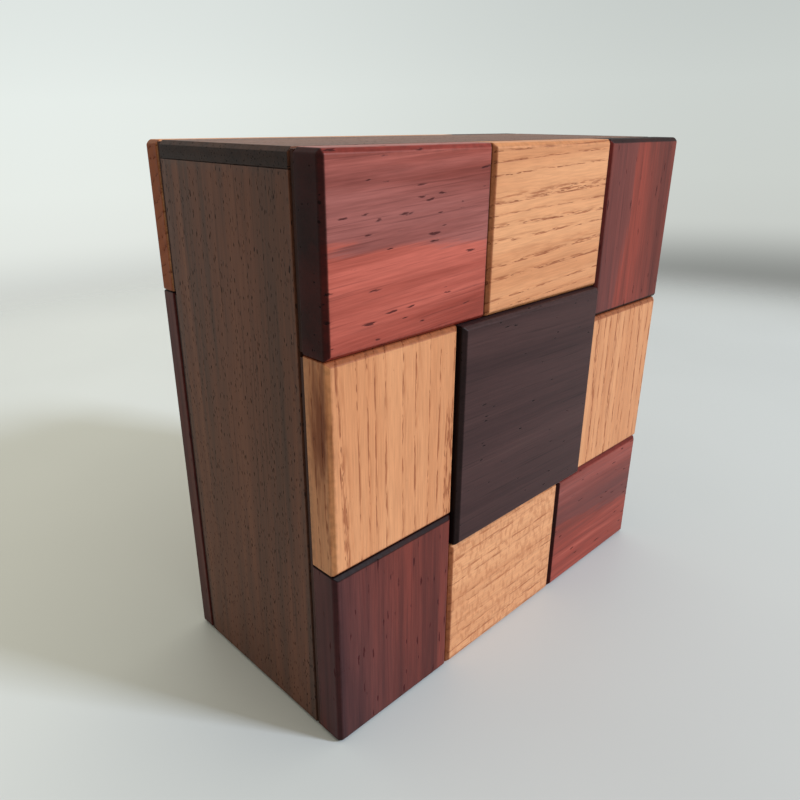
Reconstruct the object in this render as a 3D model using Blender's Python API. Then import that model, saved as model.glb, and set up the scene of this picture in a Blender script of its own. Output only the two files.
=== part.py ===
"""A wooden puzzle box.

Four side modules sit in a pinwheel round a square core. Each module is a channel of a board,
a front pair of tiles and a rear tile, and slides along its own side towards its free corner.
The centre tile is the front of a small drawer that runs in the core.

Metres, +Z up, front towards -Y. The box stands on Z = 0, centred on X and Y.
"""

import bmesh
import bpy
from mathutils import Matrix, Vector

MM = 0.001

# Overall sizes
WIDTH = 114 * MM
HEIGHT = 114 * MM
BOARD_DEPTH = 40 * MM

# Clearances
GLUE_LINE = 0.2 * MM
RUNNING_GAP = 0.3 * MM

# Outside: boards, plates and tiles
BOARD_THICKNESS = 3.2 * MM
FRONT_TILE_WIDTH = 32.3 * MM
REAR_TILE_WIDTH = 29 * MM
OUTER_TILE_LENGTH = 40.2 * MM
FRONT_TILE_THICKNESS = 6.4 * MM
REAR_TILE_THICKNESS = 4.6 * MM
PLATE_THICKNESS = 0.8 * MM
PLATE_INSET = 0.3 * MM
CENTRE_TILE_PROUD = 1.2 * MM
CHAMFER = 0.8 * MM

# Runners of the side modules, in blind grooves of the core's panels
SIDE_TRAVEL = 12 * MM
RUNNER_WIDTH = 6 * MM
RUNNER_THICKNESS = 2.2 * MM
RUNNER_END_MARGIN = 4 * MM
GROOVE_LAND = 2 * MM

# Core
PANEL_THICKNESS = 5 * MM
WALL_THICKNESS = 6 * MM
TUNNEL_THICKNESS = 3 * MM

# Drawer
DRAWER_INSET = 2 * MM
DRAWER_FRONT_THICKNESS = 6 * MM
DRAWER_SIDE_THICKNESS = 3 * MM
DRAWER_FLOOR_THICKNESS = 2.5 * MM
DRAWER_TRAVEL = 22 * MM
PEG_RADIUS = 1.5 * MM
PEG_REACH = 1.2 * MM
PEG_FROM_TUNNEL_FRONT = 3.2 * MM
MAGNET_RADIUS = 3 * MM
MAGNET_THICKNESS = 2 * MM
ROUND_SEGMENTS = 32

# Levels along Y, from the front
DEPTH = (
    CENTRE_TILE_PROUD + FRONT_TILE_THICKNESS + BOARD_DEPTH + REAR_TILE_THICKNESS
    + 2 * (GLUE_LINE + PLATE_THICKNESS + RUNNING_GAP)
)
CENTRE_FACE_Y = -DEPTH / 2
TILE_FACE_Y = CENTRE_FACE_Y + CENTRE_TILE_PROUD
FRONT_TILE_Y = (TILE_FACE_Y, TILE_FACE_Y + FRONT_TILE_THICKNESS)
FRONT_PLATE_Y = (FRONT_TILE_Y[1] + GLUE_LINE, FRONT_TILE_Y[1] + GLUE_LINE + PLATE_THICKNESS)
BOARD_Y = (FRONT_PLATE_Y[1] + RUNNING_GAP, FRONT_PLATE_Y[1] + RUNNING_GAP + BOARD_DEPTH)
REAR_PLATE_Y = (BOARD_Y[1] + RUNNING_GAP, BOARD_Y[1] + RUNNING_GAP + PLATE_THICKNESS)
REAR_TILE_Y = (REAR_PLATE_Y[1] + GLUE_LINE, DEPTH / 2)
FRONT_PANEL_Y = (BOARD_Y[0], BOARD_Y[0] + PANEL_THICKNESS)
REAR_PANEL_Y = (BOARD_Y[1] - PANEL_THICKNESS, BOARD_Y[1])
INSIDE_Y = (FRONT_PANEL_Y[1] + GLUE_LINE, REAR_PANEL_Y[0] - GLUE_LINE)
FRONT_RUNNER_Y = (FRONT_PLATE_Y[1] + GLUE_LINE, FRONT_PLATE_Y[1] + GLUE_LINE + RUNNER_THICKNESS)
REAR_RUNNER_Y = (REAR_PLATE_Y[0] - GLUE_LINE - RUNNER_THICKNESS, REAR_PLATE_Y[0] - GLUE_LINE)

# The core's outer faces, and the squares in the middle that the tiles leave open
CORE_INSET = BOARD_THICKNESS + RUNNING_GAP
CORE_X = (-WIDTH / 2 + CORE_INSET, WIDTH / 2 - CORE_INSET)
CORE_Z = (CORE_INSET, HEIGHT - CORE_INSET)
OPENING_X = (-WIDTH / 2 + FRONT_TILE_WIDTH, WIDTH / 2 - FRONT_TILE_WIDTH)
OPENING_Z = (FRONT_TILE_WIDTH, HEIGHT - FRONT_TILE_WIDTH)
REAR_OPENING_X = (-WIDTH / 2 + REAR_TILE_WIDTH, WIDTH / 2 - REAR_TILE_WIDTH)
REAR_OPENING_Z = (REAR_TILE_WIDTH, HEIGHT - REAR_TILE_WIDTH)
DRAWER_X = (OPENING_X[0] + DRAWER_INSET, OPENING_X[1] - DRAWER_INSET)
DRAWER_Z = (OPENING_Z[0] + DRAWER_INSET, OPENING_Z[1] - DRAWER_INSET)

SIDES = ("top", "left", "bottom", "right")
TILE_WIDTH = {"front": FRONT_TILE_WIDTH, "rear": REAR_TILE_WIDTH}
OUTER_TILE = {
    "top": "top_left_tile",
    "left": "bottom_left_tile",
    "bottom": "bottom_right_tile",
    "right": "top_right_tile",
}
INNER_TILE = {
    "top": "top_middle_tile",
    "left": "middle_left_tile",
    "bottom": "bottom_middle_tile",
    "right": "middle_right_tile",
}

# Name: sRGB colour, roughness, metallic
FINISHES = {
    "padauk": ((0.60, 0.31, 0.28), 0.42, 0.0),
    "oak": ((0.84, 0.63, 0.46), 0.48, 0.0),
    "wenge": ((0.26, 0.20, 0.21), 0.45, 0.0),
    "walnut": ((0.34, 0.24, 0.20), 0.50, 0.0),
    "dark_plate": ((0.13, 0.09, 0.08), 0.60, 0.0),
    "maple": ((0.83, 0.71, 0.56), 0.55, 0.0),
    "beech": ((0.76, 0.58, 0.44), 0.50, 0.0),
    "cedar": ((0.66, 0.44, 0.33), 0.60, 0.0),
    "magnet": ((0.78, 0.78, 0.80), 0.30, 1.0),
}
FACES = {"u-": (0, 0), "u+": (0, 1), "v-": (1, 0), "v+": (1, 1), "y-": (2, 0), "y+": (2, 1)}


def clear_scene():
    for obj in list(bpy.data.objects):
        bpy.data.objects.remove(obj)


def linear(channel):
    """The linear value of an sRGB channel."""
    return channel / 12.92 if channel <= 0.04045 else ((channel + 0.055) / 1.055) ** 2.4


def finish(name):
    """The material of this name, made on first use."""
    material = bpy.data.materials.get(name)
    if material:
        return material
    colour, roughness, metallic = FINISHES[name]
    material = bpy.data.materials.new(name)
    material.use_nodes = True
    shader = material.node_tree.nodes["Principled BSDF"]
    shader.inputs["Base Color"].default_value = (*map(linear, colour), 1)
    shader.inputs["Roughness"].default_value = roughness
    shader.inputs["Metallic"].default_value = metallic
    return material


def run_length(side):
    return WIDTH if side in ("top", "bottom") else HEIGHT


def side_point(side, u, v, y):
    """World point: u along the side from its free corner, v inwards from its outer face."""
    x, z = {
        "top": (-WIDTH / 2 + u, HEIGHT - v),
        "left": (-WIDTH / 2 + v, u),
        "bottom": (WIDTH / 2 - u, v),
        "right": (WIDTH / 2 - v, HEIGHT - u),
    }[side]
    return Vector((x, y, z))


def front_point(x, z, y):
    return Vector((x, y, z))


def add_object(name, bm, material, parent):
    """An object from a mesh in world coordinates, with its origin at the mesh's middle."""
    if bm.calc_volume(signed=True) < 0:
        bmesh.ops.reverse_faces(bm, faces=bm.faces)
    points = [vertex.co for vertex in bm.verts]
    low = Vector(min(p[axis] for p in points) for axis in range(3))
    high = Vector(max(p[axis] for p in points) for axis in range(3))
    middle = (low + high) / 2
    bmesh.ops.translate(bm, verts=bm.verts, vec=-middle)
    mesh = bpy.data.meshes.new(name)
    bm.to_mesh(mesh)
    bm.free()
    obj = bpy.data.objects.new(name, mesh)
    bpy.context.scene.collection.objects.link(obj)
    obj.location = middle
    if material:
        mesh.materials.append(finish(material))
    if parent:
        obj.parent = parent
        obj.location = middle - parent.location
    return obj


def on_face(edge, face, low, high):
    axis, end = FACES[face]
    level = (low, high)[end][axis]
    return all(abs(vertex.co[axis] - level) < 1e-7 for vertex in edge.verts)


def add_block(name, u, v, y, material=None, parent=None, chamfered=(), place=front_point):
    """A block between the given pairs, put in the world by place, with chamfered (face, face) edges."""
    low, high = Vector((u[0], v[0], y[0])), Vector((u[1], v[1], y[1]))
    bm = bmesh.new()
    bmesh.ops.create_cube(bm, size=1)
    for vertex in bm.verts:
        vertex.co = low + (high - low) * 0.5 + Vector(
            (high - low)[axis] * vertex.co[axis] for axis in range(3)
        )
    edges = [
        edge for edge in bm.edges
        if any(all(on_face(edge, face, low, high) for face in pair) for pair in chamfered)
    ]
    if edges:
        bmesh.ops.bevel(bm, geom=edges, offset=CHAMFER, segments=1, affect="EDGES")
    for vertex in bm.verts:
        vertex.co = place(*vertex.co)
    return add_object(name, bm, material, parent)


def add_side_block(name, side, u, v, y, material=None, parent=None, chamfered=()):
    def place(along, inwards, depth):
        return side_point(side, along, inwards, depth)

    return add_block(name, u, v, y, material, parent, chamfered, place)


def add_round(name, radius, ends, axis, centre, material=None, parent=None):
    """A cylinder along one axis between two levels; centre gives the other two coordinates."""
    bm = bmesh.new()
    bmesh.ops.create_cone(
        bm, cap_ends=True, segments=ROUND_SEGMENTS,
        radius1=radius, radius2=radius, depth=ends[1] - ends[0],
    )
    turn = {"x": Matrix.Rotation(1.5707963, 4, "Y"), "y": Matrix.Rotation(1.5707963, 4, "X")}[axis]
    bmesh.ops.transform(bm, matrix=turn, verts=bm.verts)
    middle = (ends[0] + ends[1]) / 2
    position = (middle, *centre) if axis == "x" else (centre[0], middle, centre[1])
    bmesh.ops.translate(bm, verts=bm.verts, vec=Vector(position))
    return add_object(name, bm, material, parent)


def carve(target, cutter):
    """Cuts the hidden cutter out of the target with a live Boolean."""
    cutter.hide_render = True
    cutter.display_type = "WIRE"
    modifier = target.modifiers.new(cutter.name, "BOOLEAN")
    modifier.operation = "DIFFERENCE"
    modifier.solver = "EXACT"
    modifier.object = cutter


def add_empty(name, location):
    empty = bpy.data.objects.new(name, None)
    empty.location = location
    bpy.context.scene.collection.objects.link(empty)
    return empty


def shrunk(pair, by):
    return (pair[0] + by, pair[1] - by)


def grown(pair, by):
    return (pair[0] - by, pair[1] + by)


def tile_end(side, where):
    """Where a side's tiles on the front or the rear end, at the next side's tiles."""
    return run_length(side) - TILE_WIDTH[where] - RUNNING_GAP


def runner_span(side, where):
    """The runner starts a full travel inside the core's edge, so that its groove stays blind."""
    start = CORE_INSET + GROOVE_LAND + RUNNING_GAP + SIDE_TRAVEL
    return (start, tile_end(side, where) - RUNNER_END_MARGIN)


def runner_across(where):
    """The runner lies under the middle of its tiles."""
    return grown((TILE_WIDTH[where] / 2,) * 2, RUNNER_WIDTH / 2)


def rim(face):
    """The four edges round one y face, and the outer corner edge."""
    return [(face, "u-"), (face, "u+"), (face, "v-"), (face, "v+"), ("u-", "v-")]


def add_front_tiles(side, parent):
    across = (0, FRONT_TILE_WIDTH)
    add_side_block(
        OUTER_TILE[side], side, (0, OUTER_TILE_LENGTH), across, FRONT_TILE_Y, "padauk", parent,
        rim("y-"),
    )
    add_side_block(
        INNER_TILE[side], side, (OUTER_TILE_LENGTH + GLUE_LINE, tile_end(side, "front")), across,
        FRONT_TILE_Y, "oak", parent, rim("y-")[:4],
    )


def add_side_module(side):
    """One sliding channel: board, front and rear plates, tiles and runners."""
    parent = add_empty(f"{side}_slide", side_point(side, run_length(side) / 2, 0, 0))
    board_end = run_length(side) - BOARD_THICKNESS - RUNNING_GAP
    add_side_block(
        f"{side}_board", side, (0, board_end), (0, BOARD_THICKNESS), BOARD_Y, "walnut", parent,
        [("u-", "v-")],
    )
    add_front_tiles(side, parent)
    rear_wood = "oak" if side in ("top", "bottom") else "padauk"
    add_side_block(
        f"{side}_rear_tile", side, (0, tile_end(side, "rear")), (0, REAR_TILE_WIDTH), REAR_TILE_Y,
        rear_wood, parent, rim("y+"),
    )
    levels = (("front", FRONT_PLATE_Y, FRONT_RUNNER_Y), ("rear", REAR_PLATE_Y, REAR_RUNNER_Y))
    for where, plate_y, runner_y in levels:
        add_side_block(
            f"{side}_{where}_plate", side, shrunk((0, tile_end(side, where)), PLATE_INSET),
            shrunk((0, TILE_WIDTH[where]), PLATE_INSET), plate_y, "dark_plate", parent,
        )
        add_side_block(
            f"{side}_{where}_runner", side, runner_span(side, where), runner_across(where), runner_y,
            "beech", parent,
        )


def carve_grooves(panel, where, level):
    """The blind groove of each side's runner: as long as the runner and its travel."""
    for side in SIDES:
        start, end = runner_span(side, where)
        cutter = add_side_block(
            f"{side}_{where}_groove", side,
            (start - SIDE_TRAVEL - RUNNING_GAP, end + RUNNING_GAP),
            grown(runner_across(where), RUNNING_GAP), level,
        )
        carve(panel, cutter)


def add_core(parent):
    """The frame of four walls and two panels that the modules slide on."""
    front = add_block("core_front_panel", CORE_X, CORE_Z, FRONT_PANEL_Y, "maple", parent)
    rear = add_block("core_rear_panel", CORE_X, CORE_Z, REAR_PANEL_Y, "maple", parent)
    window = add_block(
        "drawer_window", grown(DRAWER_X, RUNNING_GAP), grown(DRAWER_Z, RUNNING_GAP),
        grown(FRONT_PANEL_Y, PANEL_THICKNESS),
    )
    carve(front, window)
    carve_grooves(front, "front", (BOARD_Y[0] - RUNNER_THICKNESS, FRONT_RUNNER_Y[1] + RUNNING_GAP))
    carve_grooves(rear, "rear", (REAR_RUNNER_Y[0] - RUNNING_GAP, BOARD_Y[1] + RUNNER_THICKNESS))
    for side in SIDES:
        add_side_block(
            f"core_{side}_wall", side,
            (CORE_INSET, run_length(side) - CORE_INSET - WALL_THICKNESS - GLUE_LINE),
            (CORE_INSET, CORE_INSET + WALL_THICKNESS), INSIDE_Y, "maple", parent,
        )
    return rear


def tunnel_inset():
    """From a side's outer face to the outside of the tunnel's wall."""
    return FRONT_TILE_WIDTH + DRAWER_INSET - RUNNING_GAP - TUNNEL_THICKNESS


def add_tunnel(parent):
    """Four walls in a pinwheel round the drawer, and the peg that stops it."""
    walls = {}
    for side in SIDES:
        inset = tunnel_inset()
        walls[side] = add_side_block(
            f"tunnel_{side}_wall", side,
            (inset, run_length(side) - inset - TUNNEL_THICKNESS - GLUE_LINE),
            (inset, inset + TUNNEL_THICKNESS), INSIDE_Y, "maple", parent,
        )
    peg_y = INSIDE_Y[0] + PEG_FROM_TUNNEL_FRONT
    inner_face = DRAWER_X[0] - RUNNING_GAP
    reach = (inner_face - TUNNEL_THICKNESS, inner_face + PEG_REACH)
    centre = (peg_y, HEIGHT / 2)
    add_round("drawer_stop_peg", PEG_RADIUS, reach, "x", centre, "beech", parent)
    bore = add_round("peg_bore", PEG_RADIUS + GLUE_LINE, grown(reach, TUNNEL_THICKNESS), "x", centre)
    carve(walls["left"], bore)


def add_rear_centre(parent):
    """The fixed square in the middle of the back."""
    square = (shrunk(REAR_OPENING_X, RUNNING_GAP), shrunk(REAR_OPENING_Z, RUNNING_GAP))
    plate = tuple(shrunk(pair, PLATE_INSET) for pair in square)
    add_block("rear_centre_plate", *plate, REAR_PLATE_Y, "dark_plate", parent)
    add_block("rear_centre_tile", *square, REAR_TILE_Y, "wenge", parent, rim("y+")[:4])


def add_drawer():
    """The drawer behind the centre tile. Its front passes through the core's front panel."""
    parent = add_empty("drawer_slide", Vector((0, CENTRE_FACE_Y, HEIGHT / 2)))
    tile_y = (CENTRE_FACE_Y, CENTRE_FACE_Y + FRONT_TILE_THICKNESS)
    add_block(
        "centre_tile", shrunk(OPENING_X, RUNNING_GAP), shrunk(OPENING_Z, RUNNING_GAP), tile_y,
        "wenge", parent, rim("y-")[:4],
    )
    front_y = (tile_y[1] + GLUE_LINE, tile_y[1] + GLUE_LINE + DRAWER_FRONT_THICKNESS)
    add_block("drawer_front", DRAWER_X, DRAWER_Z, front_y, "walnut", parent)
    body_y = (front_y[1] + GLUE_LINE, REAR_PANEL_Y[0] - RUNNING_GAP)
    thick = DRAWER_SIDE_THICKNESS
    left = add_block(
        "drawer_left_side", (DRAWER_X[0], DRAWER_X[0] + thick), DRAWER_Z, body_y, "cedar", parent
    )
    add_block(
        "drawer_right_side", (DRAWER_X[1] - thick, DRAWER_X[1]), DRAWER_Z, body_y, "cedar", parent
    )
    between = shrunk(DRAWER_X, thick + GLUE_LINE)
    floor_z = (DRAWER_Z[0], DRAWER_Z[0] + DRAWER_FLOOR_THICKNESS)
    add_block("drawer_floor", between, floor_z, body_y, "cedar", parent)
    back_z = (floor_z[1] + GLUE_LINE, DRAWER_Z[1])
    back_y = (body_y[1] - thick, body_y[1])
    back = add_block("drawer_back", between, back_z, back_y, "cedar", parent)
    peg_y = INSIDE_Y[0] + PEG_FROM_TUNNEL_FRONT
    groove = add_block(
        "peg_groove", grown((DRAWER_X[0],) * 2, PEG_REACH),
        grown((HEIGHT / 2,) * 2, PEG_RADIUS + RUNNING_GAP),
        grown((peg_y, peg_y + DRAWER_TRAVEL), PEG_RADIUS + RUNNING_GAP),
    )
    carve(left, groove)
    return parent, back, back_y


def add_catch(drawer, drawer_back, back_y, core, rear_panel):
    """Two disc magnets, flush in the drawer's back and in the core's rear panel."""
    centre = (0, HEIGHT / 2)
    moving = (back_y[1] - MAGNET_THICKNESS, back_y[1])
    fixed = (REAR_PANEL_Y[0], REAR_PANEL_Y[0] + MAGNET_THICKNESS)
    recess_radius = MAGNET_RADIUS + GLUE_LINE
    add_round("drawer_catch_magnet", MAGNET_RADIUS, moving, "y", centre, "magnet", drawer)
    add_round("core_catch_magnet", MAGNET_RADIUS, fixed, "y", centre, "magnet", core)
    moving_recess = (moving[0] - GLUE_LINE, moving[1] + MAGNET_THICKNESS)
    fixed_recess = (fixed[0] - MAGNET_THICKNESS, fixed[1] + GLUE_LINE)
    carve(drawer_back, add_round("drawer_recess", recess_radius, moving_recess, "y", centre))
    carve(rear_panel, add_round("panel_recess", recess_radius, fixed_recess, "y", centre))


def main():
    clear_scene()
    core = add_empty("core", Vector((0, 0, HEIGHT / 2)))
    for side in SIDES:
        add_side_module(side)
    rear_panel = add_core(core)
    add_tunnel(core)
    add_rear_centre(core)
    drawer, drawer_back, back_y = add_drawer()
    add_catch(drawer, drawer_back, back_y, core, rear_panel)


main()
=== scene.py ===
"""The looks of a wooden puzzle box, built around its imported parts.

Four sliding side modules turn in a pinwheel round a square core, and the dark centre tile is
the front of a small drawer. Each visible stick of wood is shaped again with crisp chamfers and
eased edges, and every piece gets a solid wood whose figure runs right through it.
"""

import logging
import math
from dataclasses import dataclass, field
from enum import Enum
from typing import Optional, Union

import bmesh
import bpy
from mathutils import Matrix, Vector


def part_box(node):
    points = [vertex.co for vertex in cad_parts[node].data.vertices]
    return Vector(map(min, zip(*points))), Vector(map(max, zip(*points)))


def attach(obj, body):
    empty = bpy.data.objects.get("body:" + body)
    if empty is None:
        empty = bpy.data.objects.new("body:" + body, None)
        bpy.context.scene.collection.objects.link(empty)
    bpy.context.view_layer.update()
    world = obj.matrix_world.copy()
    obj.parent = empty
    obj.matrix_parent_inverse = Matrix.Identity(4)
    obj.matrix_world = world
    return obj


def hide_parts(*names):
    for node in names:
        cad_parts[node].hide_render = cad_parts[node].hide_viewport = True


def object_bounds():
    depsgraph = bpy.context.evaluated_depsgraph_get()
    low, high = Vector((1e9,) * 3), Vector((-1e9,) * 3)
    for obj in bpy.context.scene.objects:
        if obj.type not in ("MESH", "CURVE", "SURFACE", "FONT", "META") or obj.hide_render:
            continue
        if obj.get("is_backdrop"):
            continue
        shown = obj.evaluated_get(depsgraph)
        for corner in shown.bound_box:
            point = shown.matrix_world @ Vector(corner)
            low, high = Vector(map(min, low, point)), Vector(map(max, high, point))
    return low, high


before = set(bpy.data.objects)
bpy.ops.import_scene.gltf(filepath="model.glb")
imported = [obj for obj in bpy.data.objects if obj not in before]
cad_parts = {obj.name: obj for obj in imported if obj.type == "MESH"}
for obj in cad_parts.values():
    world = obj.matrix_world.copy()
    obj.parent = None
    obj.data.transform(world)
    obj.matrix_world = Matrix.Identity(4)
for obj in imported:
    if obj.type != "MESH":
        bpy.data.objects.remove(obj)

log = logging.getLogger("puzzle_box")

MM = 0.001
MIDDLE = 0.5
"""The middle of a random field, and of a row of tones."""
TOUCHING = 1e-6
"""How near two levels are, in metres, that count as one."""
ZONE_SKEW = 0.12
"""How far a wood's colour zones drift across the grain, for each length run along it."""
PLANK_STEP = (0.137, 0.211, 0.173)
"""How far one plank's figure lies from the next one's, in metres."""
TONE_STEP = -0.35
"""How far a tone of 1 moves a wood along its colours, which run from dark to light."""
EASING_SEGMENTS = 3
ORIGIN, FRONT, BACK = (0.0, 0.0, 0.0), (0.0, -1.0, 0.0), (0.0, 1.0, 0.0)

FULL_DISPLAY = 255
TOE_END, TOE_SLOPE = 0.04045, 12.92
CURVE_LIFT, CURVE_POWER = 0.055, 2.4

Colour = tuple[float, float, float, float]
Value = Union["Reading", float]
Shade = Union["Reading", Colour]
Place = Union["Reading", Vector, tuple[float, float, float]]
Port = Union[int, str]


def srgb(red: int, green: int, blue: int) -> Colour:
    """The linear colour of three display values.

    Args:
        red: display red, 0 to 255.
        green: display green, 0 to 255.
        blue: display blue, 0 to 255.

    Returns:
        Linear red, green and blue, with an alpha of 1.
    """

    def linear(shown: int) -> float:
        """One channel, made linear."""
        share = shown / FULL_DISPLAY
        if share <= TOE_END:
            return share / TOE_SLOPE
        return ((share + CURVE_LIFT) / (1 + CURVE_LIFT)) ** CURVE_POWER

    return (linear(red), linear(green), linear(blue), 1.0)


class Axis(Enum):
    """A direction of the box."""

    X = (1.0, 0.0, 0.0)
    Y = (0.0, 1.0, 0.0)
    Z = (0.0, 0.0, 1.0)

    def vector(self) -> Vector:
        """The direction as a vector."""
        return Vector(self.value)


class Side(Enum):
    """One of the four sides that a module slides along."""

    TOP = "top"
    LEFT = "left"
    BOTTOM = "bottom"
    RIGHT = "right"

    def along(self) -> Axis:
        """The direction that the side runs in, which its module slides along."""
        return Axis.X if self in (Side.TOP, Side.BOTTOM) else Axis.Z

    def other(self) -> Axis:
        """The direction across the side on the box's front."""
        return Axis.Z if self in (Side.TOP, Side.BOTTOM) else Axis.X

    def faces(self) -> Vector:
        """The way that the side's board looks."""
        sign = 1 if self in (Side.TOP, Side.RIGHT) else -1
        return sign * self.other().vector()

    def free_end(self) -> Vector:
        """The way that the module slides out."""
        sign = 1 if self in (Side.BOTTOM, Side.RIGHT) else -1
        return sign * self.along().vector()


# ---------------------------------------------------------------- nodes


class Reading:
    """What a tree of nodes works out at a point: a value, a colour or a vector.

    A sum on a reading adds a node to the same tree, so a finish reads as plain arithmetic.
    """

    FIRST_COLOUR, SECOND_COLOUR, MIXED_COLOUR = 6, 7, 2
    NEW_STOP = 0.5

    def __init__(self, node: bpy.types.Node, port: Port = 0) -> None:
        """Reads one output of a node."""
        self.node = node
        self.socket = node.outputs[port]

    def other(self, port: Port) -> "Reading":
        """Another output of the same node."""
        return Reading(self.node, port)

    def then(self, kind: str, given: dict[Port, object], port: Port = 0, **settings: object) -> "Reading":
        """Adds a node to the same tree.

        Args:
            kind: the node's type name.
            given: what its inputs get, each by its name or number.
            port: the output that is read.
            **settings: its plain properties.

        Returns:
            What the node works out.
        """
        return Reading(add(self.node.id_data, kind, given, **settings), port)

    def math(self, operation: str, other: Value = 0.0) -> "Reading":
        """One sum on this value and another."""
        return self.then("ShaderNodeMath", {0: self, 1: other}, operation=operation)

    def __add__(self, other: Value) -> "Reading":
        """This value and another."""
        return self.math("ADD", other)

    def __sub__(self, other: Value) -> "Reading":
        """This value less another."""
        return self.math("SUBTRACT", other)

    def __rsub__(self, other: float) -> "Reading":
        """A plain number less this value."""
        return self.then("ShaderNodeMath", {0: other, 1: self}, operation="SUBTRACT")

    def __mul__(self, other: Value) -> "Reading":
        """This value times another."""
        return self.math("MULTIPLY", other)

    def __truediv__(self, other: Value) -> "Reading":
        """This value by another."""
        return self.math("DIVIDE", other)

    def vector(self, operation: str, other: Place = ORIGIN, port: Port = 0) -> "Reading":
        """One sum on this vector and another, with a vector at port 0 and a number at port Value."""
        return self.then("ShaderNodeVectorMath", {0: self, 1: other}, port, operation=operation)

    def length(self) -> "Reading":
        """How long this vector is."""
        return self.vector("LENGTH", port="Value")

    def reach(self, way: Place) -> "Reading":
        """How far this vector reaches in a given way."""
        return self.vector("DOT_PRODUCT", way, "Value")

    def stretched(self, along: float, across: float, through: float) -> "Reading":
        """This place scaled by repeats a metre along, across and through the grain."""
        return self.vector("MULTIPLY", (along, across, through))

    def parts(self) -> list["Reading"]:
        """The three parts of this vector."""
        split = self.then("ShaderNodeSeparateXYZ", {0: self})
        return [split.other(port) for port in range(3)]

    def span(self, low: Value, high: Value, to_low: Value = 0.0, to_high: Value = 1.0) -> "Reading":
        """This value moved smoothly from one span, low to high, to another, and held at its ends."""
        given = dict(enumerate((self, low, high, to_low, to_high)))
        return self.then("ShaderNodeMapRange", given, interpolation_type="SMOOTHSTEP")

    def mixed(self, first: Shade, second: Shade, blend: str = "MIX") -> "Reading":
        """Two colours mixed in a given way, with this share of the second."""
        given = {0: self, self.FIRST_COLOUR: first, self.SECOND_COLOUR: second}
        return self.then("ShaderNodeMix", given, self.MIXED_COLOUR, data_type="RGBA", blend_type=blend)

    def scaled(self, by: Value) -> "Reading":
        """This colour made lighter or darker."""
        return self.then("ShaderNodeVectorMath", {0: self, "Scale": by}, operation="SCALE")

    def ramp(self, stops: tuple[tuple[float, Colour], ...]) -> "Reading":
        """The colour at this value in a row of stops.

        Args:
            stops: place and colour of each stop.

        Returns:
            The colour.
        """
        colour = self.then("ShaderNodeValToRGB", {0: self})
        elements = colour.node.color_ramp.elements
        while len(elements) < len(stops):
            elements.new(self.NEW_STOP)
        for element, (place, shade) in zip(elements, stops):
            element.position = place
            element.color = shade
        return colour

    def blended(self, first: "Reading", second: "Reading") -> "Reading":
        """Two shaders blended, with this share of the second."""
        return self.then("ShaderNodeMixShader", {0: self, 1: first, 2: second})


def add(
    tree: bpy.types.NodeTree, kind: str, given: Optional[dict[Port, object]] = None, **settings: object
) -> bpy.types.Node:
    """Adds a node to a tree.

    Args:
        tree: the tree.
        kind: the node's type name.
        given: what its inputs get, each by its name or number: a reading or a plain value.
        **settings: its plain properties.

    Returns:
        The new node.
    """
    node = tree.nodes.new(kind)
    for name, value in settings.items():
        setattr(node, name, value)
    for name, value in (given or {}).items():
        if isinstance(value, Reading):
            tree.links.new(value.socket, node.inputs[name])
        else:
            node.inputs[name].default_value = value
    return node


def emptied(holder: Union[bpy.types.Material, bpy.types.World]) -> bpy.types.NodeTree:
    """The node tree of a material or a world, with nothing in it."""
    holder.use_nodes = True
    holder.node_tree.nodes.clear()
    return holder.node_tree


@dataclass(frozen=True)
class Grain:
    """A soft random field, stretched along the grain.

    Attributes:
        along: repeats a metre along the grain.
        across: repeats a metre across it.
        through: repeats a metre through it, or none where they are as many as across it.
        detail: how many finer layers it has.
        roughness: how strong the finer layers are.
        warp: how much it is distorted.
    """

    along: float
    across: float
    through: Optional[float] = None
    detail: float = 2.0
    roughness: float = 0.5
    warp: float = 0.0

    def read(self, place: Reading) -> Reading:
        """The value at a point; the same node has a colour too.

        Args:
            place: the point, in the grain's frame.

        Returns:
            The value.
        """
        through = self.across if self.through is None else self.through
        where = place.stretched(self.along, self.across, through)
        layers = {"Detail": self.detail, "Roughness": self.roughness, "Distortion": self.warp}
        return where.then("ShaderNodeTexNoise", {"Vector": where, "Scale": 1.0, **layers})


@dataclass(frozen=True)
class Step:
    """A smooth step from one span of values to another.

    Attributes:
        low: where the first span starts.
        high: where it ends.
        to_low: where the second span starts.
        to_high: where it ends.
    """

    low: float
    high: float
    to_low: float = 0.0
    to_high: float = 1.0

    def read(self, value: Reading) -> Reading:
        """A value after the step."""
        return value.span(self.low, self.high, self.to_low, self.to_high)


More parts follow.
